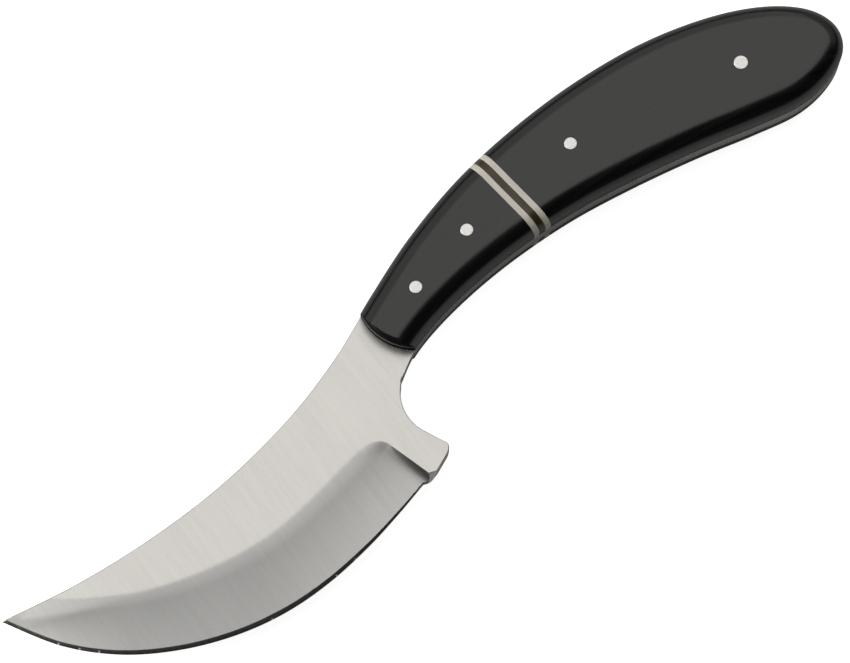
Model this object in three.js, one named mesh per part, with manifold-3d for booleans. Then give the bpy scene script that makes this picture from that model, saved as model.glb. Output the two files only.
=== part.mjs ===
// Full-tang hoof-pattern knife: an upswept hollow-ground blade with a finger notch and lug,
// black handle scales with bone and dark spacers, and four flush pins.
//
// Millimetres. The knife is drawn with its point at the drawing's origin, X running back to the
// butt, Y up towards the spine and Z through the thickness, with the middle of the steel at z = 0.
// The finished group lies on its right scale, centred over the world's origin.

import * as THREE from 'three';
import { mergeVertices } from 'three/addons/utils/BufferGeometryUtils.js';
import Module from 'manifold-3d';

const wasm = await Module();
wasm.setup();

// ---- driving dimensions -------------------------------------------------------------------

const STEEL_THICKNESS = 4;
const SCALE_THICKNESS = 6.5;
const ROUND_OVER_WIDTH = 4.8;
const ROUND_OVER_HEIGHT = 4.5;
const ROUND_OVER_STEPS = 5;

const PIN_DIAMETER = 3;
const REAR_PIN_DIAMETER = 3.36;
const PIN_CLEARANCE = 0.1;
const PINS = [
  { centre: [118.8, 5.3], diameter: PIN_DIAMETER },
  { centre: [136.1, 9.3], diameter: PIN_DIAMETER },
  { centre: [167.4, 11.8], diameter: PIN_DIAMETER },
  { centre: [210.7, 4.2], diameter: REAR_PIN_DIAMETER },
];
const PIN_SIDES = 28;

const FRONT_RADIUS = 13.5;
const FRONT_CENTRE = [118.8, 5.8];
const FRONT_ROUNDING = 0.9;
const BLOCK_FRONT = [96, -12];

const BONE_WIDTH = 1.4;
const DARK_SPACER_WIDTH = 1.7;
const SPACER_CENTRE = [149.5, 10];
const SPACER_LEAN = THREE.MathUtils.degToRad(6.9);
const GLUE_LINE = 0.1;

const EDGE_LAND = 0.2;
const BEVEL_TOP_THICKNESS = 0.8;
const GRINDING_WHEEL_RADIUS = 180;

const CURVE_STEPS = 4;
const HALF_STEEL = STEEL_THICKNESS / 2;
const HALF_HANDLE = HALF_STEEL + SCALE_THICKNESS;
const REACH = 300;

// ---- outline of the steel -----------------------------------------------------------------

const SPINE = [
  [0, -0.4], [18, -3.7], [38, -5.1], [58, -4.4], [78.1, -1.1], [95.1, 4.1],
];
const HANDLE = [
  [110, 10.6], [125, 16.5], [142, 21.1], [160, 23.5], [178, 24], [196, 22.4], [212, 18.4],
  [224.1, 12.9], [232.1, 6.2], [234.9, -0.8], [232.6, -6.6], [225.9, -10], [217, -10.9],
  [206, -8.9], [192, -5.6], [176, -2.6], [160, -0.5], [145, 0], [132, -0.7], [120, -2.5],
  [110.9, -5.1], [104.2, -8.9],
];
const NOTCH_CENTRE = [110.6, -17];
const NOTCH_RADIUS = 10.1;
const NOTCH_START = THREE.MathUtils.degToRad(135);
const NOTCH_END = THREE.MathUtils.degToRad(208);
const CUTTING_EDGE = [
  [86, -33.1], [76, -35.2], [64, -36.6], [52, -36.3], [40, -33.8], [28, -29], [17, -22.1],
  [7.6, -12.7], [0, -0.4],
];
const HEEL = [94.2, -31];

// Pairs of points on the cutting edge and on the line where the grinding wheel ran out on the
// flat, from behind the heel to just past the point of the blade.
const GRIND_SECTIONS = [
  { edge: [102, -28.5], top: [96, -14.5] },
  { edge: HEEL, top: [90, -15.8] },
  { edge: [86, -33.1], top: [82.5, -16.9] },
  { edge: [76, -35.2], top: [73.5, -18.5] },
  { edge: [64, -36.6], top: [63, -19.9] },
  { edge: [52, -36.3], top: [53.5, -19.8] },
  { edge: [40, -33.8], top: [44.2, -18.5] },
  { edge: [28, -29], top: [34.8, -16.2] },
  { edge: [17, -22.1], top: [25, -12.6] },
  { edge: [7.6, -12.7], top: [13.5, -6.2] },
  { edge: [0, -0.4], top: [2.5, 0.6] },
  { edge: [-1.6, 2], top: [0.4, 3] },
];
const GRIND_ROWS = 8;
const HOLLOW_ROWS = GRIND_ROWS - 2;
const STATIONS_PER_SECTION = 3;
const BEVEL_WIDTH_AT_ENDS = 0.45;
const BEVEL_WIDTH_AT_BELLY = 1.1;

// The plunge cut stops the hollow grind in front of the lug, with a wall that curves down.
const PLUNGE_FOOT = [98.4, -36];
const PLUNGE_TOP = [93.4, -19.6];
const PLUNGE_CORNER = [92.6, -16.4];
const PLUNGE_END = [88.5, -16.1];
const PLUNGE_WALL_WIDTH = 2.6;

// ---- solids -------------------------------------------------------------------------------

const WELD_DISTANCE = 1e-5;

// Triangles that welding has folded flat, such as those on a lathe's axis, are dropped.
function wholeTriangles(index) {
  const kept = [];
  for (let i = 0; i < index.length; i += 3) {
    const [a, b, c] = index.slice(i, i + 3);
    if (a !== b && b !== c && c !== a) {
      kept.push(a, b, c);
    }
  }
  return kept;
}

function solid(geometry) {
  const bare = geometry.clone();
  bare.deleteAttribute('normal');
  bare.deleteAttribute('uv');
  const welded = mergeVertices(bare, WELD_DISTANCE);
  const mesh = new wasm.Mesh({
    numProp: 3,
    vertProperties: new Float32Array(welded.attributes.position.array),
    triVerts: new Uint32Array(wholeTriangles(welded.index.array)),
  });
  return new wasm.Manifold(mesh);
}

function geometryOf(manifold) {
  const mesh = manifold.getMesh();
  const indexed = new THREE.BufferGeometry();
  indexed.setAttribute('position', new THREE.BufferAttribute(mesh.vertProperties, 3));
  indexed.setIndex(new THREE.BufferAttribute(mesh.triVerts, 1));
  const geometry = indexed.toNonIndexed();
  geometry.computeVertexNormals();
  return geometry;
}

function vectors(points) {
  return points.map(([x, y]) => new THREE.Vector2(x, y));
}

// The same geometry on the other side of the steel, with its faces turned back outwards.
function mirrored(geometry) {
  const copy = geometry.clone().scale(1, 1, -1);
  const index = copy.index.array;
  for (let i = 0; i < index.length; i += 3) {
    [index[i], index[i + 1]] = [index[i + 1], index[i]];
  }
  return copy;
}

function piece(name, manifold, material) {
  const mesh = new THREE.Mesh(geometryOf(manifold), material.clone());
  mesh.name = name;
  return mesh;
}

// ---- the steel ----------------------------------------------------------------------------

function steelOutline() {
  const outline = new THREE.Shape();
  outline.moveTo(...SPINE[0]);
  outline.splineThru(vectors([...SPINE.slice(1), ...HANDLE]));
  outline.absarc(...NOTCH_CENTRE, NOTCH_RADIUS, NOTCH_START, NOTCH_END, false);
  outline.lineTo(103.6, -25.8);
  outline.quadraticCurveTo(104.9, -27.4, 102.5, -28.8);
  outline.lineTo(97, -31.2);
  outline.quadraticCurveTo(95.6, -31.8, ...HEEL);
  outline.splineThru(vectors(CUTTING_EDGE));
  return outline;
}

// Distance from the edge over which the sharpening bevel runs, widest on the belly.
function bevelWidth(along) {
  const belly = Math.sin(Math.PI * along) ** 2;
  return BEVEL_WIDTH_AT_ENDS + (BEVEL_WIDTH_AT_BELLY - BEVEL_WIDTH_AT_ENDS) * belly;
}

// Half thickness of the steel across the hollow: across is 0 at the grind line, 1 at the bevel.
function hollowHeight(across, width) {
  const sag = width ** 2 / (8 * GRINDING_WHEEL_RADIUS);
  const straight = THREE.MathUtils.lerp(HALF_STEEL, BEVEL_TOP_THICKNESS / 2, across);
  return straight - sag * 4 * across * (1 - across);
}

// A point of the ground surface: along runs from heel to point, row from grind line to edge.
function groundPoint(along, row, edgeCurve, topCurve) {
  const edge = edgeCurve.getPoint(along);
  const top = topCurve.getPoint(along);
  const width = edge.distanceTo(top);
  const bevelStart = 1 - bevelWidth(along) / width;
  const overlap = 0.04;
  if (row <= HOLLOW_ROWS) {
    const across = (row / HOLLOW_ROWS) * (1 + overlap) - overlap;
    const plan = top.clone().lerp(edge, across * bevelStart);
    return new THREE.Vector3(plan.x, plan.y, hollowHeight(across, width));
  }
  const past = row === GRIND_ROWS ? 1 + 1.5 / width : 1;
  const plan = top.clone().lerp(edge, past);
  return new THREE.Vector3(plan.x, plan.y, EDGE_LAND / 2);
}

// What the wheel takes off the left side: a box bent so that its underside is the ground face.
function grindCutter() {
  const edgeCurve = new THREE.SplineCurve(vectors(GRIND_SECTIONS.map((s) => s.edge)));
  const topCurve = new THREE.SplineCurve(vectors(GRIND_SECTIONS.map((s) => s.top)));
  const stations = (GRIND_SECTIONS.length - 1) * STATIONS_PER_SECTION;
  const box = new THREE.BoxGeometry(1, 1, 1, GRIND_ROWS, 1, stations);
  const position = box.attributes.position;
  for (let i = 0; i < position.count; i += 1) {
    const row = Math.round((position.getX(i) + 0.5) * GRIND_ROWS);
    const along = position.getZ(i) + 0.5;
    const point = groundPoint(along, row, edgeCurve, topCurve);
    const height = position.getY(i) < 0 ? point.z : STEEL_THICKNESS;
    position.setXYZ(i, point.x, point.y, height);
  }
  return box;
}

// Everything in front of the plunge wall, narrowing towards the middle of the steel.
function plungeBlock() {
  const region = new THREE.Shape();
  region.moveTo(...PLUNGE_FOOT);
  region.lineTo(...PLUNGE_TOP);
  region.quadraticCurveTo(...PLUNGE_CORNER, ...PLUNGE_END);
  region.lineTo(80, -10);
  region.lineTo(-20, 20);
  region.lineTo(-20, -50);
  region.lineTo(60, -50);
  const block = new THREE.ExtrudeGeometry(region, {
    depth: STEEL_THICKNESS,
    bevelSize: PLUNGE_WALL_WIDTH,
    bevelOffset: -PLUNGE_WALL_WIDTH,
    bevelThickness: HALF_STEEL,
    bevelSegments: 3,
    curveSegments: 6,
  });
  return block.translate(0, 0, HALF_STEEL);
}

// The flat where the sharpening stone ran on under the lug.
function heelFacet() {
  const normal = new THREE.Vector3(-0.266, -0.773, 0.575).normalize();
  const size = [4, 4, 4];
  const facet = new THREE.BoxGeometry(...size);
  facet.translate(0, 0, size[2] / 2);
  const turn = new THREE.Quaternion().setFromUnitVectors(new THREE.Vector3(0, 0, 1), normal);
  facet.applyQuaternion(turn);
  return facet.translate(97.9, -31.04, 1.1);
}

function pinHole({ centre, diameter }) {
  const radius = diameter / 2 + PIN_CLEARANCE;
  const hole = new THREE.CylinderGeometry(radius, radius, 4 * HALF_HANDLE, PIN_SIDES);
  return hole.rotateX(Math.PI / 2).translate(centre[0], centre[1], 0);
}

function pinHoles() {
  return PINS.map(pinHole).map(solid).reduce((all, hole) => all.add(hole));
}

function makeBlade() {
  const blank = new THREE.ExtrudeGeometry(steelOutline(), {
    depth: STEEL_THICKNESS,
    bevelEnabled: false,
    curveSegments: CURVE_STEPS,
  });
  blank.translate(0, 0, -HALF_STEEL);
  const grind = solid(grindCutter()).intersect(solid(plungeBlock()));
  const leftCut = geometryOf(grind.add(solid(heelFacet())));
  const rightCut = mirrored(mergeVertices(leftCut.deleteAttribute('normal'), 1e-5));
  return solid(blank).subtract(solid(leftCut)).subtract(solid(rightCut)).subtract(pinHoles());
}

// ---- the handle ---------------------------------------------------------------------------

// Both scales as one rounded block, left long in front so that the front cut can shape it.
function handleBlock() {
  const outline = new THREE.Shape();
  outline.moveTo(...SPINE.at(-1));
  outline.splineThru(vectors(HANDLE));
  outline.lineTo(...BLOCK_FRONT);
  const block = new THREE.ExtrudeGeometry(outline, {
    depth: 2 * (HALF_HANDLE - ROUND_OVER_HEIGHT),
    bevelSize: ROUND_OVER_WIDTH,
    bevelOffset: -ROUND_OVER_WIDTH,
    bevelThickness: ROUND_OVER_HEIGHT,
    bevelSegments: ROUND_OVER_STEPS,
    curveSegments: CURVE_STEPS,
  });
  return block.translate(0, 0, ROUND_OVER_HEIGHT - HALF_HANDLE);
}

// A disc with softened rims gives the scales their curved front end.
function frontDisc() {
  const profile = new THREE.Path();
  profile.moveTo(0, -HALF_HANDLE);
  profile.lineTo(FRONT_RADIUS - FRONT_ROUNDING, -HALF_HANDLE);
  profile.quadraticCurveTo(
    FRONT_RADIUS, -HALF_HANDLE, FRONT_RADIUS, FRONT_ROUNDING - HALF_HANDLE,
  );
  profile.lineTo(FRONT_RADIUS, HALF_HANDLE - FRONT_ROUNDING);
  profile.quadraticCurveTo(
    FRONT_RADIUS, HALF_HANDLE, FRONT_RADIUS - FRONT_ROUNDING, HALF_HANDLE,
  );
  profile.lineTo(0, HALF_HANDLE);
  const disc = new THREE.LatheGeometry(profile.getPoints(3), 72);
  return disc.rotateX(Math.PI / 2).translate(...FRONT_CENTRE, 0);
}

// A slab across the handle between two distances from the middle of the spacers, on one side.
function slab(from, to, side) {
  const box = new THREE.BoxGeometry(to - from, REACH, REACH);
  box.translate((from + to) / 2, 0, side * (REACH / 2 + HALF_STEEL));
  box.rotateZ(SPACER_LEAN);
  return solid(box.translate(...SPACER_CENTRE, 0));
}

function makeHandle() {
  const behindFront = new THREE.BoxGeometry(REACH, REACH, REACH);
  behindFront.translate(FRONT_CENTRE[0] + REACH / 2, 0, 0);
  const kept = solid(frontDisc()).add(solid(behindFront));
  const shaped = solid(handleBlock()).intersect(kept).subtract(pinHoles());

  const darkHalf = DARK_SPACER_WIDTH / 2;
  const boneEnd = darkHalf + GLUE_LINE + BONE_WIDTH;
  const bands = [
    { part: 'front_scale', from: -REACH / 2, to: -boneEnd - GLUE_LINE, material: HORN },
    { part: 'front_bone_spacer', from: -boneEnd, to: -darkHalf - GLUE_LINE, material: BONE },
    { part: 'dark_spacer', from: -darkHalf, to: darkHalf, material: DARK_SPACER },
    { part: 'rear_bone_spacer', from: darkHalf + GLUE_LINE, to: boneEnd, material: BONE },
    { part: 'rear_scale', from: boneEnd + GLUE_LINE, to: REACH / 2, material: HORN },
  ];
  const sides = [['left', 1], ['right', -1]];
  return sides.flatMap(([word, side]) => bands.map(({ part, from, to, material }) => (
    piece(`${word}_${part}`, shaped.intersect(slab(from, to, side)), material)
  )));
}

function makePin({ centre, diameter }, number) {
  const radius = diameter / 2;
  const rod = new THREE.CylinderGeometry(radius, radius, 2 * HALF_HANDLE, PIN_SIDES);
  rod.rotateX(Math.PI / 2);
  const pin = new THREE.Mesh(rod, PIN_METAL.clone());
  pin.position.set(centre[0], centre[1], 0);
  pin.name = `pin_${number + 1}`;
  return pin;
}

// ---- finishes -----------------------------------------------------------------------------

function finish(color, roughness, metalness) {
  return new THREE.MeshStandardMaterial({ color, roughness, metalness });
}

const STEEL = finish(0xcfccc6, 0.35, 1);
const HORN = finish(0x2a2a29, 0.3, 0);
const BONE = finish(0xd8d2c0, 0.5, 0);
const DARK_SPACER = finish(0x352c20, 0.5, 0);
const PIN_METAL = finish(0xdedcd6, 0.35, 1);

// ---- the knife ----------------------------------------------------------------------------

const knife = new THREE.Group();
knife.add(piece('blade', makeBlade(), STEEL));
knife.add(...makeHandle());
knife.add(...PINS.map(makePin));

const extent = new THREE.Box3().setFromObject(knife);
const middle = extent.getCenter(new THREE.Vector3());
knife.position.set(-middle.x, -middle.y, -extent.min.z);

export default knife;
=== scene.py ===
"""The look of a full-tang hoof-pattern knife lying on a pale table.

Sizes in the classes are millimetres in the maker's drawing: the point of the blade is at the
origin, X runs back to the butt, Y up to the spine, and Z is 0 at the middle of the steel.
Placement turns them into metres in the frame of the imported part.
"""

import logging
import math
from collections.abc import Callable
from dataclasses import dataclass, field
from enum import Enum

import bmesh
import bpy
import numpy as np
from mathutils import Matrix, Vector
from mathutils.geometry import delaunay_2d_cdt
from mathutils.kdtree import KDTree


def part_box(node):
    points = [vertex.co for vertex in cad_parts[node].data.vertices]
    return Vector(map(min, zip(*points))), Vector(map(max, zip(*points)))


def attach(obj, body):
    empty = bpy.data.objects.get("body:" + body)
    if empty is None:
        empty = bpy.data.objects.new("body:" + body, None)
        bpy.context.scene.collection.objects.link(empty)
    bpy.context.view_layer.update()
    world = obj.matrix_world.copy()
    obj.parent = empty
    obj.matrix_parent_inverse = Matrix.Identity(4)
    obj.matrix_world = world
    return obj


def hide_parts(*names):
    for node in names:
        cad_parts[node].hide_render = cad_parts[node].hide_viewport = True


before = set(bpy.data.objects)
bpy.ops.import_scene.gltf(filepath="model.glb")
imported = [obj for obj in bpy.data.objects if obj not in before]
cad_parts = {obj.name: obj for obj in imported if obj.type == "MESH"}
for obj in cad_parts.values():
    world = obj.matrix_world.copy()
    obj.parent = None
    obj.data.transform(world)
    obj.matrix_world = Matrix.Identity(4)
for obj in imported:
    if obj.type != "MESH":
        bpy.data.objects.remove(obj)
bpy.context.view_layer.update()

Spot = tuple[float, float]
Points = list[Spot]
Rgb = tuple[float, float, float]
Socket = bpy.types.NodeSocket

log = logging.getLogger("knife")

MM = 0.001
CURVE_STEPS = 16
USUAL_NOISE = (0.3, 0.7)


def listed(*items: object) -> list:
    """A dataclass field that starts as a list of these."""
    return field(default_factory=lambda: list(items))


class Side(Enum):
    """Which face of the steel a handle piece is on."""

    LEFT = 1
    RIGHT = -1


# ---- plan curves ------------------------------------------------------------------------------


def catmull(points: Points, steps: int = CURVE_STEPS) -> np.ndarray:
    """A smooth curve through a few points.

    Args:
        points: the points that the curve goes through, in order.
        steps: how many pieces each stretch between two points is cut into.

    Returns:
        The curve's points, one row each.
    """
    p = np.array(points, float)
    before = np.vstack([p[:1], p[:-1]])
    after = np.vstack([p[2:], p[-1:]])
    t = (np.arange(steps) / steps)[:, None]
    rows = []
    for i in range(len(p) - 1):
        a, b = p[i], p[i + 1]
        va, vb = (b - before[i]) / 2, (after[i] - a) / 2
        cubed, squared = 2 * a - 2 * b + va + vb, 3 * b - 3 * a - 2 * va - vb
        rows.append(cubed * t**3 + squared * t**2 + va * t + a)
    return np.vstack([*rows, p[-1:]])


def arc(centre: Spot, radius: float, start: float, end: float, steps: int = 40) -> np.ndarray:
    """Points on a circular arc, with its angles in degrees."""
    angle = np.radians(np.linspace(start, end, steps + 1))
    return np.c_[centre[0] + radius * np.cos(angle), centre[1] + radius * np.sin(angle)]


def bend(start: Spot, pull: Spot, end: Spot, steps: int = 16) -> np.ndarray:
    """Points on a quadratic curve from start to end, pulled towards a third point."""
    t = np.linspace(0, 1, steps + 1)[:, None]
    a, b, c = (np.array(v, float) for v in (start, pull, end))
    return (1 - t) ** 2 * a + 2 * t * (1 - t) * b + t**2 * c


def turn_back(line: np.ndarray, reach: float, steps: int = 40) -> np.ndarray:
    """The points that close an open line with a smooth bulge, from its end to its start.

    Args:
        line: the open line.
        reach: how far each end is pulled on in its own direction.
        steps: how many pieces the bulge is cut into.

    Returns:
        The bulge's points, without the line's own two ends.
    """
    t = np.linspace(0, 1, steps + 1)[1:-1, None]
    ends = [line[-1] - line[-2], line[0] - line[1]]
    out, back = (e / np.hypot(*e) * reach for e in ends)
    a, b, c, d = line[-1], line[-1] + out, line[0] + back, line[0]
    return (1 - t) ** 3 * a + 3 * (1 - t) ** 2 * t * b + 3 * (1 - t) * t**2 * c + t**3 * d


def respaced(line: np.ndarray, spacing: float) -> np.ndarray:
    """The same line with its points evenly spaced, ends kept."""
    length = np.r_[0, np.cumsum(np.hypot(*np.diff(line, axis=0).T))]
    count = max(2, int(round(length[-1] / spacing)) + 1)
    at = np.linspace(0, length[-1], count)
    return np.c_[np.interp(at, length, line[:, 0]), np.interp(at, length, line[:, 1])]


def left_normals(line: np.ndarray) -> np.ndarray:
    """Unit normals on the left of an open line, at its points."""
    along = np.gradient(line, axis=0)
    along /= np.hypot(*along.T)[:, None]
    return np.c_[-along[:, 1], along[:, 0]]


@dataclass
class Nearest:
    """Where points lie beside a line: how far off, and on which side."""

    distance: np.ndarray
    side: np.ndarray


def nearest(points: np.ndarray, line: np.ndarray) -> Nearest:
    """The nearest place on a line to each point.

    Args:
        points: the points to measure from, one row each.
        line: the line's own points, one row each.

    Returns:
        The distance to the line, and the side, which is 1 on its left and -1 on its right.
    """
    a, d = line[:-1], np.diff(line, axis=0)
    size = np.hypot(*d.T)
    out = Nearest(np.empty(len(points)), np.empty(len(points)))
    block = 4000
    for i in range(0, len(points), block):
        p = points[i : i + block, None, :] - a[None]
        t = np.clip((p * d).sum(2) / size**2, 0, 1)
        off = p - t[..., None] * d
        far = np.hypot(off[..., 0], off[..., 1])
        k = far.argmin(1)
        row = np.arange(len(k))
        cross = d[k, 0] * off[row, k, 1] - d[k, 1] * off[row, k, 0]
        out.distance[i : i + block] = far[row, k]
        out.side[i : i + block] = np.where(cross >= 0, 1.0, -1.0)
    return out


def soft_min(a: np.ndarray, b: np.ndarray, blend: float) -> np.ndarray:
    """The smaller of two heights, with the corner between them rounded over the height blend."""
    h = np.maximum(blend - np.abs(a - b), 0) / blend
    return np.minimum(a, b) - h * h * blend / 4


def inside(points: np.ndarray, outline: np.ndarray) -> np.ndarray:
    """Which points lie inside a closed outline."""
    x, y = points[:, 0], points[:, 1]
    hit = np.zeros(len(points), bool)
    for (x0, y0), (x1, y1) in zip(outline, np.roll(outline, -1, 0)):
        if y0 != y1:
            crosses = (y0 > y) != (y1 > y)
            hit ^= crosses & (x < (x1 - x0) * (y - y0) / (y1 - y0) + x0)
    return hit


def signed_area(outline: np.ndarray) -> float:
    """Twice the area of a closed outline, more than 0 if it runs counter-clockwise."""
    x, y = outline[:, 0], outline[:, 1]
    return (x * np.roll(y, -1) - np.roll(x, -1) * y).sum()


def grid(x_span: Spot, y_span: Spot, spacing: float) -> np.ndarray:
    """Evenly spaced points over a rectangle."""
    x, y = np.meshgrid(np.arange(*x_span, spacing), np.arange(*y_span, spacing))
    return np.c_[x.ravel(), y.ravel()]


# ---- meshes -----------------------------------------------------------------------------------


@dataclass(frozen=True)
class Placement:
    """Where the drawing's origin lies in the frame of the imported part, in millimetres."""

    x: float
    y: float
    z: float

    @classmethod
    def from_pin(cls, node: str, centre: Spot) -> "Placement":
        """The placement that puts a pin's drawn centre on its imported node.

        Args:
            node: the pin's node name.
            centre: its centre in the drawing.

        Returns:
            The placement.
        """
        low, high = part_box(node)
        middle = (low + high) / (2 * MM)
        return cls(middle.x - centre[0], middle.y - centre[1], middle.z)

    def metres(self, points: np.ndarray) -> np.ndarray:
        """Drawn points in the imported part's frame, in metres."""
        return (np.asarray(points, float) + (self.x, self.y, self.z)) * MM

    def drawn(self, points: np.ndarray) -> np.ndarray:
        """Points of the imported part's frame, in metres, as drawn ones."""
        return points / MM - (self.x, self.y, self.z)

    def mirror(self) -> Matrix:
        """The change that mirrors a piece about the middle of the steel."""
        down, up = (Matrix.Translation((0, 0, z * MM)) for z in (-self.z, self.z))
        return up @ Matrix.Scale(-1, 4, (0, 0, 1)) @ down


def new_object(name: str, data: bpy.types.ID) -> bpy.types.Object:
    """A mesh, a light or a camera as an object in the scene."""
    obj = bpy.data.objects.new(name, data)
    bpy.context.scene.collection.objects.link(obj)
    return obj


def dress(obj: bpy.types.Object, node: str, material: bpy.types.Material) -> None:
    """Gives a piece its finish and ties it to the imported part.

    Args:
        obj: the piece.
        node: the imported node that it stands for.
        material: its finish.
    """
    obj.data.materials.clear()
    obj.data.materials.append(material)
    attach(obj, "root")
    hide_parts(node)
    log.info("%s: %d faces, for node %s", obj.name, len(obj.data.polygons), node)


# ---- finishes ---------------------------------------------------------------------------------


class Nodes:
    """One material's nodes, and the few ways in which the finishes wire them up."""

    def __init__(self, name: str) -> None:
        """Starts a material with nothing but a Principled shader and its output."""
        self.material = bpy.data.materials.new(name)
        self.material.use_nodes = True
        self.tree = self.material.node_tree
        self.tree.nodes.clear()
        self.shader = self.add("ShaderNodeBsdfPrincipled")
        output = self.add("ShaderNodeOutputMaterial")
        self.join(self.shader.outputs["BSDF"], output.inputs["Surface"])

    def add(self, kind: str, **settings: object) -> bpy.types.Node:
        """A node of this kind, with its properties set."""
        node = self.tree.nodes.new(kind)
        for key, value in settings.items():
            setattr(node, key, value)
        return node

    def join(self, source: Socket, target: Socket) -> None:
        """A link from one socket to another."""
        self.tree.links.new(source, target)

    def place(self, scale: tuple[float, float, float], turn: float = 0.0) -> Socket:
        """The piece's own coordinates in metres, scaled, after a turn about Z in degrees."""
        where = self.add("ShaderNodeTexCoord")
        mapping = self.add("ShaderNodeMapping")
        mapping.inputs["Scale"].default_value = scale
        mapping.inputs["Rotation"].default_value = (0, 0, math.radians(turn))
        self.join(where.outputs["Object"], mapping.inputs["Vector"])
        return mapping.outputs["Vector"]

    def noise(self, where: Socket, detail: float = 2.0, rough: float = 0.5) -> Socket:
        """A noise value from 0 to 1 at those coordinates."""
        node = self.add("ShaderNodeTexNoise")
        node.inputs["Scale"].default_value = 1.0
        node.inputs["Detail"].default_value = detail
        node.inputs["Roughness"].default_value = rough
        self.join(where, node.inputs["Vector"])
        return node.outputs["Fac"]

    def spread(self, value: Socket, low: float, high: float) -> Socket:
        """A noise value stretched so that its usual range fills low to high."""
        node = self.add("ShaderNodeMapRange")
        keys = ("From Min", "From Max", "To Min", "To Max")
        for key, number in zip(keys, (*USUAL_NOISE, low, high)):
            node.inputs[key].default_value = number
        self.join(value, node.inputs["Value"])
        return node.outputs["Result"]

    def tint(self, value: Socket, low: Rgb, high: Rgb) -> Socket:
        """A colour between two, by a noise value's usual range."""
        ramp = self.add("ShaderNodeValToRGB")
        for element, at, colour in zip(ramp.color_ramp.elements, USUAL_NOISE, (low, high)):
            element.position = at
            element.color = (*colour, 1)
        self.join(value, ramp.inputs["Fac"])
        return ramp.outputs["Color"]

    def blend(self, first: Socket, second: Socket, share: float) -> Socket:
        """Two values mixed, with this share of the second."""
        node = self.add("ShaderNodeMix", data_type="FLOAT")
        node.inputs["Factor"].default_value = share
        self.join(first, node.inputs["A"])
        self.join(second, node.inputs["B"])
        return node.outputs["Result"]

    def bump(self, height: Socket, depth_mm: float) -> None:
        """Makes a height from 0 to 1 stand this far off the surface."""
        node = self.add("ShaderNodeBump")
        node.inputs["Distance"].default_value = depth_mm * MM
        self.join(height, node.inputs["Height"])
        self.join(node.outputs["Normal"], self.shader.inputs["Normal"])


@dataclass(frozen=True)
class BrushedSteel:
    """Satin steel, rubbed across the blade from spine to edge, with a darker, cooler colour painted
    into the hollow as shade.

    The lines, strokes and cloud each give how many features there are a metre along the blade,
    across it and through it.
    """

    flat: Rgb = (0.67, 0.655, 0.63)
    # The hollow's tone is darker than the flats': it stands for painted shade, not a different steel.
    hollow: Rgb = (0.5, 0.5, 0.494)
    streak_tone: float = 0.86
    roughness: tuple[float, float] = (0.26, 0.31)
    line_depth: float = 0.0025
    lines: tuple[float, float, float] = (2700, 90, 400)
    strokes: tuple[float, float, float] = (900, 45, 200)
    stroke_turn: float = 3.0
    cloud: tuple[float, float, float] = (90, 50, 60)

    def material(self) -> bpy.types.Material:
        """The finish as a material."""
        n = Nodes("brushed_steel")
        lines = n.noise(n.place(self.lines), 3.0, 0.65)
        strokes = n.noise(n.place(self.strokes, self.stroke_turn))
        cloud = n.noise(n.place(self.cloud))
        n.bump(n.blend(lines, strokes, 0.35), self.line_depth)
        n.join(n.spread(n.blend(lines, cloud, 0.4), *self.roughness), n.shader.inputs["Roughness"])
        streak = n.blend(n.blend(lines, strokes, 0.5), cloud, 0.3)
        # Painted shade: the hollow's darker, cooler colour is mixed in by a per-point share that
        # grows with the grinding depth.
        hollow_shade_mask = n.add("ShaderNodeAttribute", attribute_name="wheel_finish")
        mix = n.add("ShaderNodeMix", data_type="RGBA")
        n.join(hollow_shade_mask.outputs["Fac"], mix.inputs["Factor"])
        for socket, tone in (("A", self.flat), ("B", self.hollow)):
            darker = tuple(c * self.streak_tone for c in tone)
            n.join(n.tint(streak, darker, tone), mix.inputs[socket])
        n.join(mix.outputs["Result"], n.shader.inputs["Base Color"])
        n.shader.inputs["Metallic"].default_value = 1.0
        return n.material


@dataclass(frozen=True)
class PolishedHorn:
    """Black horn buffed to a soft shine, with its grain bent along the handle.

    The grain runs round a centre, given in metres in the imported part's frame. The fibres and the
    buffing marks each give how many features there are a metre across the grain and along it.
    """

    name: str = "polished_horn"
    dark: Rgb = (0.0004, 0.0004, 0.0004)
    light: Rgb = (0.0064, 0.0062, 0.006)
    roughness: tuple[float, float] = (0.2, 0.3)
    shine: float = 0.5
    index: float = 1.61
    grain_centre: tuple[float, float, float] = (0.0486, -0.1807, 0.0)
    fibres: tuple[float, float] = (700, 22)
    buffing: tuple[float, float] = (2600, 80)
    depth: float = 0.004

    def grain(self, n: Nodes, across: float, along: float) -> Socket:
        """Noise in long fibres, with these many features a metre across and along them."""
        where = n.place((1, 1, 1))
        radius = n.add("ShaderNodeVectorMath", operation="DISTANCE")
        radius.inputs[1].default_value = self.grain_centre
        n.join(where, radius.inputs[0])
        parts = n.add("ShaderNodeSeparateXYZ")
        n.join(where, parts.inputs["Vector"])
        fibre = n.add("ShaderNodeCombineXYZ")
        n.join(radius.outputs["Value"], fibre.inputs["X"])
        n.join(parts.outputs["X"], fibre.inputs["Y"])
        n.join(parts.outputs["Z"], fibre.inputs["Z"])
        stretched = n.add("ShaderNodeVectorMath", operation="MULTIPLY")
        stretched.inputs[1].default_value = (across, along, across / 3)
        n.join(fibre.outputs["Vector"], stretched.inputs[0])
        return n.noise(stretched.outputs["Vector"], 3.0, 0.6)

    def material(self) -> bpy.types.Material:
        """The finish as a material."""
        n = Nodes(self.name)
        grain = self.grain(n, *self.fibres)
        rub = self.grain(n, *self.buffing)
        n.bump(n.blend(grain, rub, 0.4), self.depth)
        n.join(n.spread(n.blend(rub, grain, 0.5), *self.roughness), n.shader.inputs["Roughness"])
        n.join(n.tint(grain, self.dark, self.light), n.shader.inputs["Base Color"])
        n.shader.inputs["IOR"].default_value = self.index
        n.shader.inputs["Specular IOR Level"].default_value = self.shine
        return n.material


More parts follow.
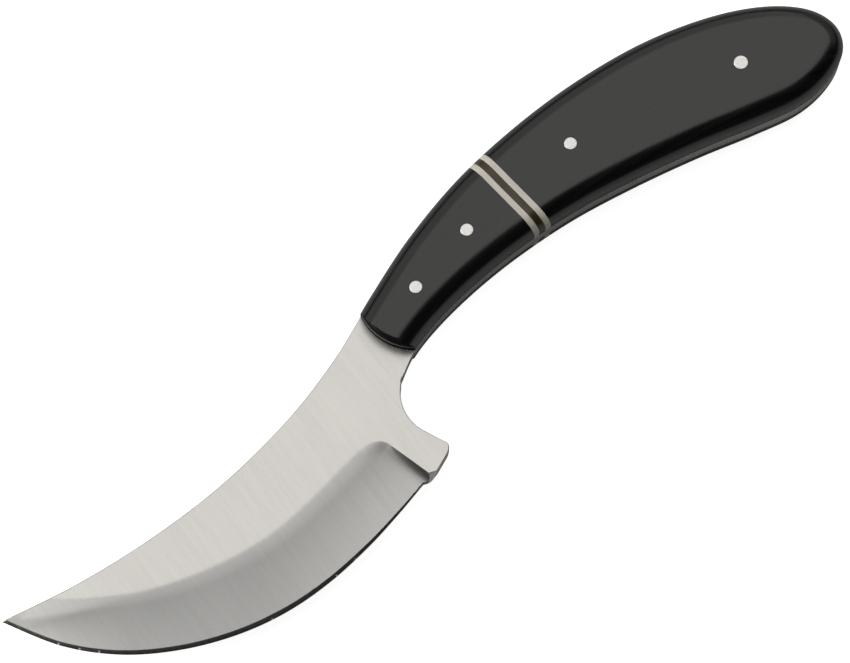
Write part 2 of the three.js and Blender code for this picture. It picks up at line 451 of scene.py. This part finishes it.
@dataclass(frozen=True)
class Inlay:
    """A fibrous spacer material, polished flush with the horn.

    The fibres give how many features there are a metre along the handle, across it and through it.
    """

    name: str
    light: Rgb
    dark: Rgb
    fibres: tuple[float, float, float]
    roughness: float
    depth: float = 0.002

    def material(self) -> bpy.types.Material:
        """The finish as a material."""
        n = Nodes(self.name)
        fibre = n.noise(n.place(self.fibres), 3.0, 0.6)
        n.bump(fibre, self.depth)
        n.join(n.tint(fibre, self.dark, self.light), n.shader.inputs["Base Color"])
        n.shader.inputs["Roughness"].default_value = self.roughness
        return n.material


CREAM_BONE = Inlay("bone", (0.72, 0.69, 0.61), (0.6, 0.57, 0.49), (900, 120, 300), 0.35)
DARK_WOOD = Inlay("dark_wood", (0.07, 0.045, 0.018), (0.02, 0.013, 0.006), (1400, 90, 400), 0.3)


@dataclass(frozen=True)
class PinMetal:
    """Pale pin ends, sanded flush and lightly scratched."""

    colour: Rgb = (0.8, 0.79, 0.77)
    roughness: tuple[float, float] = (0.3, 0.5)
    depth: float = 0.004
    scratches: tuple[float, float, float] = (4200, 700, 700)
    scratch_turn: float = 35.0
    pits: tuple[float, float, float] = (2600, 2600, 2600)

    def material(self) -> bpy.types.Material:
        """The finish as a material."""
        n = Nodes("pin_metal")
        scratches = n.noise(n.place(self.scratches, self.scratch_turn), 3.0, 0.7)
        pits = n.noise(n.place(self.pits))
        n.bump(n.blend(scratches, pits, 0.5), self.depth)
        n.join(n.spread(pits, *self.roughness), n.shader.inputs["Roughness"])
        n.shader.inputs["Base Color"].default_value = (*self.colour, 1)
        n.shader.inputs["Metallic"].default_value = 1.0
        return n.material


# ---- the steel --------------------------------------------------------------------------------

WALL_SPACING, EDGE_SPACING = 0.45, 0.5
LEAST_GAP = 0.028
NORMAL_INSET = 0.012


@dataclass
class Blade:
    """The blade and tang in one piece: an outline, two hollow grinds and their plunge cuts.

    The outline runs along the spine, round the handle, into the finger notch, down the lug, round
    the heel and back along the edge. The hollow rises from the bevel to the grind line. Its
    steepness is given against the share of its width, for the heel and for the belly, and
    belly_share mixes the two along the blade. At the grind line the hollow meets the flat in a
    round shoulder. Where the hollow is narrower than full_width the steel thins too. In front of
    the lug the hollow runs out within plunge_reach of the plunge line. Shoulder, belly_share,
    bevel_widths and the share of painted shade in the hollow are given at places along X; that
    painted shade darkens the steel's colour where the hollow is ground deep. The facet is the
    small flat under the lug, and the rim the softened outer corner.
    """

    thickness: float = 4.0
    spine: Points = listed((0, -0.4), (18, -3.7), (38, -5.1), (58, -4.4), (78.1, -1.1), (95.1, 4.1))
    handle: Points = listed(
        (110, 10.6), (125, 16.5), (142, 21.1), (160, 23.5), (178, 24), (196, 22.4), (212, 18.4),
        (224.1, 12.9), (232.1, 6.2), (234.9, -0.8), (232.6, -6.6), (225.9, -10), (217, -10.9),
        (206, -8.9), (192, -5.6), (176, -2.6), (160, -0.5), (145, 0), (132, -0.7), (120, -2.5),
        (110.9, -5.1), (104.2, -8.9),
    )  # fmt: skip
    notch_centre: Spot = (110.6, -17)
    notch_radius: float = 10.1
    notch_turn: tuple[float, float] = (135, 208)
    lug: Points = listed((103.6, -25.8), (104.9, -27.4), (102.5, -28.8))
    heel: Points = listed((97.0, -31.2), (95.6, -31.8), (94.2, -31.0))
    edge: Points = listed(
        (94.2, -31.0), (86, -33.1), (76, -35.2), (64, -36.6), (52, -36.3), (40, -33.8),
        (28, -29), (17, -22.1), (7.6, -12.7), (0, -0.4),
    )  # fmt: skip
    grind_line: Points = listed(
        (101, -14.2), (90, -15.8), (82, -17), (73, -18.6), (63, -19.8), (54, -19.6), (45, -18.2),
        (37, -16.2), (30, -13.8), (24, -11.1), (17, -7.8), (10, -4.8), (5, -2.9), (1, -1.2),
    )  # fmt: skip
    shoulder: Points = listed((5, 0.6), (13, 0.4), (22, 0.14), (32, 0.03))
    heel_steepness: Points = listed((0, 0.47), (0.75, 1), (1, 0.6))
    belly_steepness: Points = listed((0, 0.75), (0.76, 1), (1, 0.58))
    belly_share: Points = listed((5, 0.6), (20, 1), (45, 1), (64, 0.5), (85, 0))
    full_width: float = 15.0
    least_width: float = 2.0
    # Painted shade in the hollow: its share along X, and the grinding depth at which it is full.
    hollow_shade_share: Points = listed((8, 0.55), (22, 1), (50, 1), (64, 0.75), (90, 0.62))
    hollow_shade_depth: float = 0.06
    bevel_top: float = 0.4
    bevel_blend: float = 0.02
    bevel_widths: Points = listed((0, 0.75), (20, 0.95), (50, 1.1), (72, 0.82), (93, 0.36))
    plunge: Points = listed((98.4, -36), (93.4, -19.6), (92.6, -16.6), (88.5, -16.1), (86, -12))
    plunge_reach: float = 5.0
    plunge_power: float = 4.3
    facet_corner: Spot = (96.62, -29.93)
    facet_slope: tuple[float, float] = (0.463, 1.344)
    facet_lift: float = 0.75
    facet_back: float = 0.4
    facet_blend: float = 0.05
    edge_half: float = 0.04
    rim: float = 0.22
    rim_stops_at: float = 104.5
    rim_fades_over: float = 1.5
    least_rim: float = 0.1

    def __post_init__(self) -> None:
        """Works out the lines that the shape is measured from."""
        self.half = self.thickness / 2
        handle_side = catmull([*self.spine, *self.handle])
        self.tang_side = handle_side[CURVE_STEPS * (len(self.spine) - 1) :]
        notch = arc(self.notch_centre, self.notch_radius, *self.notch_turn)
        lug = np.vstack([bend(*self.lug), [self.heel[0]]])
        self.wall = np.vstack([handle_side, notch, lug])
        self.ground_edge = np.vstack([bend(*self.heel), catmull(self.edge)[1:]])
        self.grind_curve = catmull(self.grind_line)
        self.shares = np.linspace(0, 1, 201)
        self.heel_rise, self.belly_rise = map(self.rise, (self.heel_steepness, self.belly_steepness))
        first, *curve, last = self.plunge
        self.plunge_line = np.vstack([[first], bend(*curve), [last]])

    def bevel_width(self, points: np.ndarray) -> np.ndarray:
        """How wide the sharpened bevel is beside these points."""
        return np.interp(points[:, 0], *zip(*self.bevel_widths))

    def ground_height(self, points: np.ndarray) -> np.ndarray:
        """Half the steel's thickness left by the wheel and the sharpening stone.

        Args:
            points: places in plan, one row each.

        Returns:
            The height over the middle of the steel, which passes its flat at the grind line.
        """
        from_edge, width = self.hollow_width(points)
        bevel = self.bevel_width(points)
        share = (from_edge - bevel) / (width - bevel)
        like_belly = np.interp(points[:, 0], *zip(*self.belly_share))
        heel, belly = (np.interp(share, self.shares, r) for r in (self.heel_rise, self.belly_rise))
        rise = heel + (belly - heel) * like_belly + np.maximum(share - 1, 0)
        hollow = self.bevel_top + (self.flat_height(width) - self.bevel_top) * rise
        return soft_min(hollow, from_edge * self.bevel_top / bevel, self.bevel_blend)

    def rise(self, steepness: Points) -> np.ndarray:
        """How far up the hollow has risen at each share of its width, from its steepness."""
        steep = np.interp(self.shares, *zip(*steepness))
        total = np.r_[0, np.cumsum((steep[1:] + steep[:-1]) / 2)]
        return total / total[-1]

    def hollow_width(self, points: np.ndarray) -> tuple[np.ndarray, np.ndarray]:
        """How far each point lies from the edge, and how wide the hollow is there."""
        from_edge = nearest(points, self.ground_edge).distance
        line = nearest(points, self.grind_curve)
        least = from_edge / 4 + self.least_width
        return from_edge, np.maximum(from_edge + line.distance * line.side, least)

    def flat_height(self, width: np.ndarray) -> np.ndarray:
        """Half the steel's thickness beside a hollow of this width, which thins at the tip."""
        narrow = np.clip(1 - width / self.full_width, 0, 1)
        return self.half - (self.half - self.bevel_top) * narrow**2

    def plunge_share(self, points: np.ndarray) -> np.ndarray:
        """How much of the hollow's depth is left standing in front of the lug, from 0 to 1."""
        beside = nearest(points, self.plunge_line)
        ahead = np.clip(beside.distance * beside.side / self.plunge_reach, 0, 1)
        return (1 - ahead) ** self.plunge_power

    def wheel_finish(self, points: np.ndarray) -> np.ndarray:
        """How much painted shade darkens the steel's colour, from 0 on the flats to 1 deep in the
        hollow, fading out near the plunge.
        """
        depth = self.half - np.minimum(self.ground_height(points), self.half)
        ahead = np.clip(3 * (1 - self.plunge_share(points)), 0, 1)
        hollow_shade_share = np.interp(points[:, 0], *zip(*self.hollow_shade_share))
        return np.clip(depth / self.hollow_shade_depth, 0, 1) * ahead * hollow_shade_share

    def facet_height(self, points: np.ndarray) -> np.ndarray:
        """Height of the small flat where the sharpening stone ran on under the lug."""
        step = points - self.facet_corner
        plane = self.half + step @ np.array(self.facet_slope)
        back = self.heel[0][0] - self.facet_back
        return plane + self.facet_lift * np.maximum(back - points[:, 0], 0)

    def half_thickness(self, points: np.ndarray) -> np.ndarray:
        """Height of the left face over the middle of the steel.

        Args:
            points: places in plan, one row each.

        Returns:
            The height at each.
        """
        blend = np.interp(points[:, 0], *zip(*self.shoulder))
        flat = self.flat_height(self.hollow_width(points)[1])
        face = soft_min(self.ground_height(points), flat, blend)
        face = face + (flat - face) * self.plunge_share(points)
        face = soft_min(face, self.facet_height(points), self.facet_blend)
        fade = self.rim_fades_over
        left = (self.rim_stops_at + fade - points[:, 0]) / fade
        rim = self.rim * np.clip(left, self.least_rim, 1)
        near = np.clip(rim - nearest(points, self.wall).distance, 0, None)
        face = face - (rim - np.sqrt(rim**2 - np.minimum(near, rim) ** 2))
        from_edge = nearest(points, self.ground_edge).distance
        return np.maximum(face, np.minimum(self.edge_half, from_edge))

    def plan_points(self) -> list[np.ndarray]:
        """Places for the mesh's inner points, the most needed first, following each feature."""
        wall = respaced(self.wall, WALL_SPACING)
        out = -left_normals(wall)
        plunge = respaced(self.plunge_line, 0.16)
        ahead = left_normals(plunge)
        edge = respaced(self.ground_edge, 0.28)
        inward = -left_normals(edge)
        bevel = self.bevel_width(edge)[:, None]
        crest = respaced(self.grind_curve, 0.5)
        beside = left_normals(crest)
        return [
            *(wall + out * d for d in (0.03, 0.09, 0.16, 0.24, 0.36)),
            *(plunge + ahead * d for d in (0, 0.05, -0.05, 0.12, -0.12, *np.arange(0.22, 4, 0.14))),
            grid((94.4, 99.2), (-31.6, -29.4), 0.13),
            *(edge + inward * (bevel + d) for d in (0, 0.045, -0.045, 0.16, -0.16)),
            *(crest + beside * d for d in (0, 0.08, -0.08, 0.16, -0.16, 0.3, -0.3)),
            grid((0.5, 106), (-37, 4), 0.62),
        ]

    def mesh(self, place: Placement) -> bpy.types.Mesh:
        """The steel as one closed mesh.

        Args:
            place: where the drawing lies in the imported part's frame.

        Returns:
            The mesh, with the exact normals of the ground faces.
        """
        wall, edge = respaced(self.wall, WALL_SPACING), respaced(self.ground_edge, EDGE_SPACING)
        outline = np.vstack([wall[:-1], edge[:-1]])
        points = spaced_out(outline, self.plan_points(), LEAST_GAP)
        flat, triangles = triangulated(points, len(outline))
        height = self.half_thickness(flat)
        border = len(outline)
        on_edge = np.zeros(len(flat), bool)
        on_edge[len(wall) - 1 : border] = True
        on_edge[0] = True
        height[on_edge] = 0
        inset = flat.copy()
        inset[:border] -= outward(outline) * NORMAL_INSET
        normals = slope_normals(self.half_thickness, inset)
        mesh = sheet_pair("blade_steel", place, flat, height, normals, triangles, border)
        spots = np.empty(len(mesh.vertices) * 3)
        mesh.vertices.foreach_get("co", spots)
        drawn = place.drawn(spots.reshape(-1, 3))[:, :2]
        # Painted shade: each point's share of the hollow's darker colour, read by the steel's
        # material.
        finish = mesh.attributes.new("wheel_finish", "FLOAT", "POINT")
        finish.data.foreach_set("value", self.wheel_finish(drawn))
        return mesh


def spaced_out(outline: np.ndarray, layers: list[np.ndarray], gap: float) -> np.ndarray:
    """An outline and the points inside it that aren't too close together.

    Args:
        outline: the closed outline's points, which are all kept, in order.
        layers: more points, the most needed first.
        gap: the least distance between a point and those already kept.

    Returns:
        The outline's points followed by the inner ones that were kept.
    """
    kept = outline
    for layer in layers:
        layer = layer[inside(layer, outline)]
        tree = KDTree(len(kept))
        for i, (x, y) in enumerate(kept):
            tree.insert((x, y, 0), i)
        tree.balance()
        clear = [tree.find((x, y, 0))[2] > gap for x, y in layer]
        kept = np.vstack([kept, layer[np.array(clear, bool)]]) if len(layer) else kept
    return kept


def triangulated(points: np.ndarray, border: int) -> tuple[np.ndarray, list[tuple[int, ...]]]:
    """Triangles over an outline, the first border points, and the points inside it.

    Args:
        points: the outline's points in order, then the inner ones.
        border: how many of them are the outline's.

    Returns:
        The points that were used and the triangles, counter-clockwise.
    """
    loop = [(i, (i + 1) % border) for i in range(border)]
    verts, _, faces, origins, _, _ = delaunay_2d_cdt([Vector(p) for p in points], loop, [], 1, 1e-5)
    flat = np.array([tuple(v) for v in verts])
    if len(flat) != len(points) or any(o != [i] for i, o in enumerate(origins)):
        raise ValueError("two points of a plan fell together")
    counter = []
    for a, b, c in faces:
        u, v = flat[b] - flat[a], flat[c] - flat[a]
        counter.append((a, b, c) if u[0] * v[1] > u[1] * v[0] else (a, c, b))
    return flat, counter


def outward(outline: np.ndarray) -> np.ndarray:
    """Unit normals pointing out of a closed outline."""
    along = np.roll(outline, -1, 0) - np.roll(outline, 1, 0)
    along /= np.hypot(*along.T)[:, None]
    return np.c_[along[:, 1], -along[:, 0]] * (1 if signed_area(outline) > 0 else -1)


def slope_normals(
    height: Callable[[np.ndarray], np.ndarray], points: np.ndarray, step: float = 0.008
) -> np.ndarray:
    """Unit normals of a height over the plan, by small steps each way."""
    dx, dy = np.array([step, 0]), np.array([0, step])
    gx = (height(points + dx) - height(points - dx)) / (2 * step)
    gy = (height(points + dy) - height(points - dy)) / (2 * step)
    n = np.c_[-gx, -gy, np.ones(len(points))]
    return n / np.linalg.norm(n, axis=1)[:, None]


def sheet_pair(
    name: str,
    place: Placement,
    flat: np.ndarray,
    height: np.ndarray,
    normals: np.ndarray,
    triangles: list[tuple[int, ...]],
    border: int,
) -> bpy.types.Mesh:
    """A solid with the same face above and below its middle plane.

    Args:
        name: the mesh's name.
        place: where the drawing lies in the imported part's frame.
        flat: places in plan, the outline's first.
        height: half the solid's thickness at each, which is 0 along a sharp edge.
        normals: the upper face's normals.
        triangles: the upper face, counter-clockwise.
        border: how many places are the outline's.

    Returns:
        The closed mesh.
    """
    count = len(flat)
    sharp = height <= 0
    under = np.where(sharp, np.arange(count), np.arange(count) + count)
    upper = np.c_[flat, height]
    lower = np.c_[flat, -height]
    down = normals * (1, 1, -1)
    faces = list(triangles) + [tuple(int(under[i]) for i in reversed(t)) for t in triangles]
    shade = [normals[i] for t in triangles for i in t]
    shade += [down[i] for t in triangles for i in reversed(t)]
    sides = np.c_[outward(flat[:border]), np.zeros(border)]
    forward = signed_area(flat[:border]) > 0
    for i in range(border):
        a, b = (i, (i + 1) % border) if forward else ((i + 1) % border, i)
        ring = [(a, True), (a, False), (b, False), (b, True)]
        corners = []
        for k, top in ring:
            v = k if top else int(under[k])
            if v not in [c[0] for c in corners]:
                corners.append((v, k))
        if len(corners) > 2:
            faces.append(tuple(v for v, _ in corners))
            shade += [sides[k] for _, k in corners]
    used = sorted({v for face in faces for v in face})
    new_index = {v: k for k, v in enumerate(used)}
    faces = [tuple(new_index[v] for v in face) for face in faces]
    mesh = bpy.data.meshes.new(name)
    mesh.from_pydata(place.metres(np.vstack([upper, lower])[used]).tolist(), [], faces)
    mesh.shade_smooth()
    mesh.normals_split_custom_set([tuple(n) for n in shade])
    return mesh


# ---- the handle -------------------------------------------------------------------------------


def ring_stack(name: str, place: Placement, outline: np.ndarray, profile: Points) -> bpy.types.Object:
    """A closed block made of inset copies of one outline, stacked up.

    Args:
        name: the object's name.
        place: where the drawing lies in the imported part's frame.
        outline: the closed outline, one point a row.
        profile: pairs of inset and height, from the bottom up.

    Returns:
        The block.
    """
    out = outward(outline)
    rings = [np.c_[outline - out * inset, np.full(len(outline), height)] for inset, height in profile]
    count = len(outline)
    forward = signed_area(outline) > 0
    faces = [tuple(range(count)), tuple(range((len(rings) - 1) * count, len(rings) * count))]
    faces[0 if forward else 1] = tuple(reversed(faces[0 if forward else 1]))
    for k in range(len(rings) - 1):
        for i in range(count):
            j = (i + 1) % count
            quad = (k * count + i, k * count + j, (k + 1) * count + j, (k + 1) * count + i)
            faces.append(quad if forward else tuple(reversed(quad)))
    mesh = bpy.data.meshes.new(name)
    mesh.from_pydata(place.metres(np.vstack(rings)).tolist(), [], faces)
    return new_object(name, mesh)


def quarter(width: float, height: float, base: float, steps: int) -> Points:
    """Insets and heights of a round-over, a quarter of an ellipse that starts upright."""
    turn = np.radians(np.linspace(0, 90, steps + 1))
    return [(width * (1 - math.cos(t)), base + height * math.sin(t)) for t in turn]


def settle(obj: bpy.types.Object) -> None:
    """Turns an object's modifiers into its own mesh."""
    evaluated = obj.evaluated_get(bpy.context.evaluated_depsgraph_get())
    mesh = bpy.data.meshes.new_from_object(evaluated)
    obj.modifiers.clear()
    obj.data = mesh


def cut(obj: bpy.types.Object, tool: bpy.types.Object, operation: str) -> None:
    """Joins, cuts or keeps the overlap of an object and a tool, which is then removed."""
    change = obj.modifiers.new("cut", "BOOLEAN")
    change.operation = operation
    change.solver = "EXACT"
    change.object = tool
    settle(obj)
    bpy.data.objects.remove(tool)


def part_between(
    source: bpy.types.Mesh, name: str, planes: list[tuple[Vector, Vector]]
) -> bpy.types.Mesh:
    """A copy of a solid cut off by planes.

    Args:
        source: the whole solid.
        name: the new mesh's name.
        planes: a point and a direction for each, and what lies that way is removed.

    Returns:
        The closed mesh of what is left.
    """
    edit = bmesh.new()
    edit.from_mesh(source)
    for point, away in planes:
        whole = edit.verts[:] + edit.edges[:] + edit.faces[:]
        made = bmesh.ops.bisect_plane(
            edit, geom=whole, dist=1e-7, plane_co=point, plane_no=away, clear_outer=True
        )
        rim = [e for e in made["geom_cut"] if isinstance(e, bmesh.types.BMEdge)]
        bmesh.ops.edgenet_fill(edit, edges=rim)
    bmesh.ops.recalc_face_normals(edit, faces=edit.faces)
    mesh = bpy.data.meshes.new(name)
    edit.to_mesh(mesh)
    edit.free()
    return mesh


@dataclass
class Handle:
    """Scales and spacers on both sides of the tang, rounded over together, with four pins.

    The front is cut to a circle, whose upper edge is softened from front_drop below the faces. Its
    wall is dull but for a strip between the two heights of front_gloss. The bands of bone and dark
    wood lean by spacer_lean degrees, and glue is the gap between two of them.
    """

    blade: Blade
    scale_thickness: float = 6.5
    round_width: float = 4.8
    round_height: float = 4.5
    round_steps: int = 18
    outline_spacing: float = 0.6
    bulge: float = 10.4
    front_centre: Spot = (118.8, 5.8)
    front_radius: float = 13.5
    front_turn: tuple[float, float] = (250, 150)
    front_rounding: float = 0.9
    front_drop: float = 0.88
    front_gloss: tuple[float, float] = (4.1, 4.7)
    wall_slack: float = 0.05
    upright: float = 0.3
    spacer_centre: Spot = (149.5, 10)
    spacer_lean: float = 6.9
    bone: float = 1.4
    dark: float = 1.7
    glue: float = 0.02
    hole_gap: float = 0.07
    pins: Points = listed((118.8, 5.3), (136.1, 9.3), (167.4, 11.8), (210.7, 4.2))
    pin_radii: tuple[float, ...] = (1.5, 1.5, 1.5, 1.68)
    crease: float = 28.0
    pin_crease: float = 50.0

    @property
    def top(self) -> float:
        """Height of the scales' faces over the middle of the steel."""
        return self.blade.half + self.scale_thickness

    def rounded_half(self, place: Placement) -> bpy.types.Object:
        """The left half of the handle, rounded over, with its front end left long."""
        tang = respaced(self.blade.tang_side, self.outline_spacing)
        outline = np.vstack([tang, turn_back(tang, self.bulge)])
        start = self.top - self.round_height
        soft = quarter(self.round_width, self.round_height, start, self.round_steps)
        return ring_stack("handle_half", place, outline, [(0, self.blade.half), *soft])

    def front_tool(self, place: Placement) -> bpy.types.Object:
        """What is kept by the front cut: a curved front with a softened upper edge."""
        front = arc(self.front_centre, self.front_radius, *self.front_turn, 160)
        below, above = [(250, -40), (130, -40)], [(125, 60), (250, 60)]
        outline = np.vstack([below, front, above])
        soft = quarter(self.front_rounding, self.front_rounding, self.top - self.front_drop, 8)
        profile = [(0, self.blade.half - 1), *((0, z) for z in self.front_gloss), *soft]
        return ring_stack("front_tool", place, outline, profile)

    def pin_rim(self, number: int, gap: float = 0.0) -> np.ndarray:
        """The circle of one pin, or of its hole with a gap round the pin."""
        return arc(self.pins[number], self.pin_radii[number] + gap, 0, 360, 96)[:-1]

    def hole_tool(self, place: Placement, number: int) -> bpy.types.Object:
        """The rod that drills one pin hole."""
        rim = self.pin_rim(number, self.hole_gap)
        return ring_stack("hole_tool", place, rim, [(0, 0), (0, self.top + 1)])

    def bands(self) -> list[tuple[str, float, float]]:
        """Each handle piece's name, and where it starts and ends behind the spacers' middle."""
        half, far = self.dark / 2, 300.0
        edge = half + self.glue + self.bone
        return [
            ("front_scale", -far, -edge - self.glue),
            ("front_bone_spacer", -edge, -half - self.glue),
            ("dark_spacer", -half, half),
            ("rear_bone_spacer", half + self.glue, edge),
            ("rear_scale", edge + self.glue, far),
        ]

    def build_side(self, place: Placement, side: Side) -> list[tuple[str, bpy.types.Object]]:
        """The five handle pieces on one side of the tang.

        Args:
            place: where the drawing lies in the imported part's frame.
            side: which side.

        Returns:
            Each piece with the node that it stands for, from the front back.
        """
        half = self.rounded_half(place)
        cut(half, self.front_tool(place), "INTERSECT")
        for number in range(len(self.pins)):
            cut(half, self.hole_tool(place, number), "DIFFERENCE")
        lean = math.radians(self.spacer_lean)
        back = Vector((math.cos(lean), math.sin(lean), 0))
        middle = Vector(place.metres(np.array([*self.spacer_centre, 0.0])))
        pieces = []
        for word, start, end in self.bands():
            node = f"{side.name.lower()}_{word}"
            planes = [(middle + back * start * MM, -back), (middle + back * end * MM, back)]
            planes = [p for p, at in zip(planes, (start, end)) if abs(at) < 100]
            mesh = part_between(half.data, f"{node}_piece", planes)
            if side is Side.RIGHT:
                mesh.transform(place.mirror())
                mesh.flip_normals()
            obj = new_object(f"{node}_piece", mesh)
            mesh.shade_smooth()
            mesh.set_sharp_from_angle(angle=math.radians(self.crease))
            weigh = obj.modifiers.new("weigh", "WEIGHTED_NORMAL")
            weigh.keep_sharp = True
            settle(obj)
            pieces.append((node, obj))
        bpy.data.objects.remove(half)
        return pieces

    def mark_front_wall(self, place: Placement, piece: bpy.types.Object) -> None:
        """Gives a scale's upright front wall the piece's second finish, but for a glossy strip."""
        for face in piece.data.polygons:
            x, y, z = place.drawn(np.array(face.center))
            off = math.hypot(x - self.front_centre[0], y - self.front_centre[1]) - self.front_radius
            glossy = self.front_gloss[0] < abs(z) < self.front_gloss[1]
            in_front = abs(off) < self.wall_slack and x < self.front_centre[0]
            if in_front and abs(face.normal.z) < self.upright and not glossy:
                face.material_index = 1

    def build_pin(self, place: Placement, number: int) -> bpy.types.Object:
        """One through pin, with both ends a hair proud and slightly domed."""
        dome = [(1.4, 0.02), (0.9, 0.017), (0.4, 0.01), (0.12, 0.0), (0.03, -0.03), (0, -0.09)]
        profile = [(inset, -self.top - rise) for inset, rise in dome]
        profile += [(inset, self.top + rise) for inset, rise in reversed(dome)]
        pin = ring_stack(f"handle_pin_{number + 1}", place, self.pin_rim(number), profile)
        pin.data.shade_smooth()
        pin.data.set_sharp_from_angle(angle=math.radians(self.pin_crease))
        return pin


# ---- the studio -------------------------------------------------------------------------------


@dataclass(frozen=True)
class SoftBox:
    """A glowing card that faces the knife.

    Its direction is two tilts from straight up in degrees, towards the butt and towards the near
    side. Its distance and its sizes along the handle and across it are in metres.
    """

    name: str
    tilt: tuple[float, float]
    distance: float
    size: tuple[float, float]
    strength: float
    colour: Rgb = (1.0, 0.99, 0.97)

    def build(self, target: Vector) -> None:
        """Hangs the card over the target."""
        butt, near = (math.tan(math.radians(t)) for t in self.tilt)
        facing = Vector((butt, -near, 1)).normalized()
        data = bpy.data.lights.new(self.name, "AREA")
        data.shape = "RECTANGLE"
        data.size, data.size_y = self.size
        data.energy = self.strength * self.size[0] * self.size[1] * math.pi
        data.color = self.colour
        lamp = new_object(self.name, data)
        along = Vector((1, 0, 0))
        across = (along - facing * along.dot(facing)).normalized()
        turned = Matrix((across, facing.cross(across), facing)).transposed().to_4x4()
        lamp.matrix_world = Matrix.Translation(target + facing * self.distance) @ turned


@dataclass
class Studio:
    """A pale table under soft boxes, and the camera that looks down on it.

    The camera aims at a drawn place from a distance in millimetres. It is turned about the upright
    and tilted towards the near side, in degrees.
    """

    aim: tuple[float, float, float] = (115.62, -2.47, 0.0)
    turn: float = 36.37
    tilt: float = 15.0
    distance: float = 800.0
    lens: float = 148.94
    boxes: list[SoftBox] = listed(
        SoftBox("overhead_box", (5, -12), 1.2, (2.0, 0.8), 1.08),
        SoftBox("far_side_box", (0, -52), 1.3, (2.6, 1.1), 0.6),
        SoftBox("right_end_box", (62, -25), 1.3, (0.9, 1.4), 0.3),
        SoftBox("left_end_box", (-52, -38), 1.3, (0.7, 0.7), 6.0),
    )
    table_tone: float = 0.62
    table_glow: float = 0.93
    table_reach: float = 3.0
    table_height: float = -0.0002
    surround: float = 0.02
    surround_seen: float = 0.95

    def camera(self, target: Vector) -> None:
        """A long lens over the knife, tilted towards the near side of the table."""
        turn, tilt = math.radians(self.turn), math.radians(self.tilt)
        right = Vector((math.cos(turn), -math.sin(turn), 0))
        away = Vector((math.sin(turn), math.cos(turn), 0))
        up = Vector((0, 0, 1))
        back = up * math.cos(tilt) - away * math.sin(tilt)
        above = away * math.cos(tilt) + up * math.sin(tilt)
        data = bpy.data.cameras.new("camera")
        data.lens, data.sensor_width = self.lens, 36.0
        data.clip_start, data.clip_end = 0.05, 20
        cam = new_object("camera", data)
        turned = Matrix((right, above, back)).transposed().to_4x4()
        cam.matrix_world = Matrix.Translation(target + back * self.distance * MM) @ turned
        bpy.context.scene.camera = cam

    def table(self) -> None:
        """The pale table top, which glows to the eye but not on to the knife."""
        mesh = bpy.data.meshes.new("table_top")
        reach, height = self.table_reach, self.table_height
        corners = [(-reach, -reach), (reach, -reach), (reach, reach), (-reach, reach)]
        mesh.from_pydata([(x, y, height) for x, y in corners], [], [(0, 1, 2, 3)])
        paper = Nodes("white_table")
        tone = self.table_tone
        paper.shader.inputs["Base Color"].default_value = (tone, tone, tone, 1)
        paper.shader.inputs["Roughness"].default_value = 0.9
        paper.shader.inputs["Specular IOR Level"].default_value = 0.0
        paper.shader.inputs["Emission Color"].default_value = (1, 1, 1, 1)
        seen = paper.add("ShaderNodeLightPath")
        glow = paper.add("ShaderNodeMath", operation="MULTIPLY")
        glow.inputs[1].default_value = self.table_glow
        paper.join(seen.outputs["Is Camera Ray"], glow.inputs[0])
        paper.join(glow.outputs["Value"], paper.shader.inputs["Emission Strength"])
        mesh.materials.append(paper.material)
        new_object("table_top", mesh)

    def surroundings(self) -> None:
        """A room that is pale to the eye and almost dark to the knife."""
        world = bpy.data.worlds.new("surroundings")
        world.use_nodes = True
        tree = world.node_tree
        seen = tree.nodes.new("ShaderNodeLightPath")
        level = tree.nodes.new("ShaderNodeMapRange")
        level.inputs["To Min"].default_value = self.surround
        level.inputs["To Max"].default_value = self.surround_seen
        tree.links.new(seen.outputs["Is Camera Ray"], level.inputs["Value"])
        tree.links.new(level.outputs["Result"], tree.nodes["Background"].inputs["Strength"])
        tree.nodes["Background"].inputs["Color"].default_value = (1, 1, 1, 1)
        bpy.context.scene.world = world

    def build(self, place: Placement) -> None:
        """Sets up the table, the lights, the surroundings and the camera."""
        target = Vector(place.metres(np.array(self.aim)))
        self.table()
        for box in self.boxes:
            box.build(target)
        self.surroundings()
        bpy.context.scene.view_settings.view_transform = "Standard"
        self.camera(target)


# ---- the knife --------------------------------------------------------------------------------


def build_knife(handle: Handle, place: Placement) -> None:
    """Builds and dresses every piece of the knife, in order.

    Args:
        handle: the handle, which holds the blade.
        place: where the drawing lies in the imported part's frame.
    """
    steel = new_object("steel", handle.blade.mesh(place))
    dress(steel, "blade", BrushedSteel().material())
    horn, bone, wood = (finish.material() for finish in (PolishedHorn(), CREAM_BONE, DARK_WOOD))
    end_grain = PolishedHorn("horn_end_grain", roughness=(0.5, 0.6), shine=0.1, index=1.15).material()
    finishes = {"scale": ("black_horn", horn), "bone": ("bone", bone), "dark": ("dark_spacer", wood)}
    for side in Side:
        for node, piece in handle.build_side(place, side):
            slot, material = next(f for word, f in finishes.items() if word in node)
            dress(piece, node, material)
            if "front_scale" in node:
                piece.data.materials.append(end_grain)
                handle.mark_front_wall(place, piece)
    pin_metal = PinMetal().material()
    for number in range(len(handle.pins)):
        dress(handle.build_pin(place, number), f"pin_{number + 1}", pin_metal)


def main() -> None:
    """Builds the knife and its studio."""
    logging.basicConfig(level=logging.INFO, format="%(message)s")
    handle = Handle(Blade())
    place = Placement.from_pin("pin_1", handle.pins[0])
    build_knife(handle, place)
    Studio().build(place)


if __name__ == "__main__":
    main()
